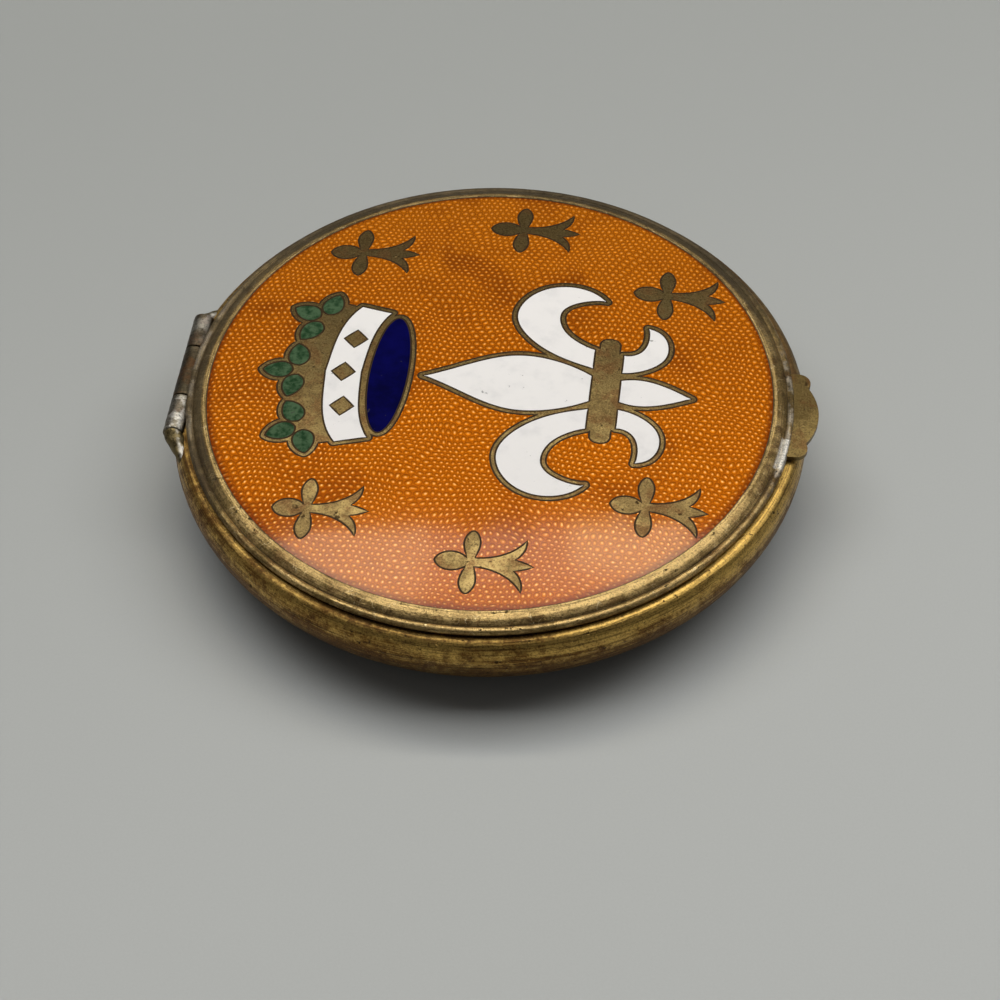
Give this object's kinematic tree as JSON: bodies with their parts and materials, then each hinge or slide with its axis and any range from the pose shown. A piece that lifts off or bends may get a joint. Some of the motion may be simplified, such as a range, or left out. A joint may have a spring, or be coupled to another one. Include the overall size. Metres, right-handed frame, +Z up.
{
  "type": "compact mirror",
  "caption": "Round powder compact: deep brass bowl, hinged lid with a domed enamel medallion outside and a framed mirror inside, lobed thumb tab and snap catch.",
  "frame": {"origin": "centre of the flat foot that the bowl stands on", "axes": "+Z up through the closed lid, +X from the hinge to the thumb tab, Y along the hinge pin"},
  "size_m": [0.0637, 0.0628, 0.0118],
  "materials": {
    "bowl_brass": "worn gilt brass, circular polish marks and tarnish",
    "rim_brass": "worn gilt brass, tarnished in the groove",
    "tab_brass": "worn gilt brass, polished by the thumb",
    "hinge_metal": "brass greyed with tin solder",
    "solder": "soft tin solder, drawn out and left as it flowed",
    "inner_gilt": "clean gilt brass, satin",
    "motif_brass": "brass ground flush with the enamel",
    "plate_brass": "stippled brass under the enamel",
    "pin_steel": "drawn wire",
    "spring_steel": "blued leaf",
    "orange_enamel": "clear orange glass enamel over a stippled ground",
    "white_enamel": "opaque glossy enamel",
    "green_enamel": "clear glossy enamel",
    "blue_enamel": "clear glossy enamel",
    "card": "plain",
    "mirror": "silvered glass, bevelled"
  },
  "bodies": {
    "base": {"base_bowl": "bowl_brass", "base_collar": "inner_gilt", "base_knuckle_left": "hinge_metal", "base_knuckle_right": "hinge_metal", "hinge_solder": "solder", "hinge_pin": "pin_steel", "powder_pan": "inner_gilt", "pan_ring": "inner_gilt"},
    "lid": {"lid_rim": "rim_brass", "lid_knuckle": "hinge_metal", "thumb_tab": "tab_brass", "medallion_plate": "plate_brass", "motif_brass": "motif_brass", "orange_enamel": "orange_enamel", "white_enamel": "white_enamel", "green_enamel": "green_enamel", "blue_enamel": "blue_enamel", "mirror_card": "card", "mirror_glass": "mirror", "mirror_frame": "inner_gilt"},
    "catch": {"catch_spring": "spring_steel"}
  },
  "joints": [
    {"name": "lid_hinge", "type": "hinge", "parent": "base", "child": "lid", "pos_m": [-0.0303, 0, 0.0091], "axis": [0, -1, 0], "range_deg": [0, 150]},
    {"name": "catch_flex", "type": "slide", "parent": "base", "child": "catch", "axis": [1, 0, 0], "range_m": [0, 0.0004], "stiffness_N_per_m": 6000}
  ]
}
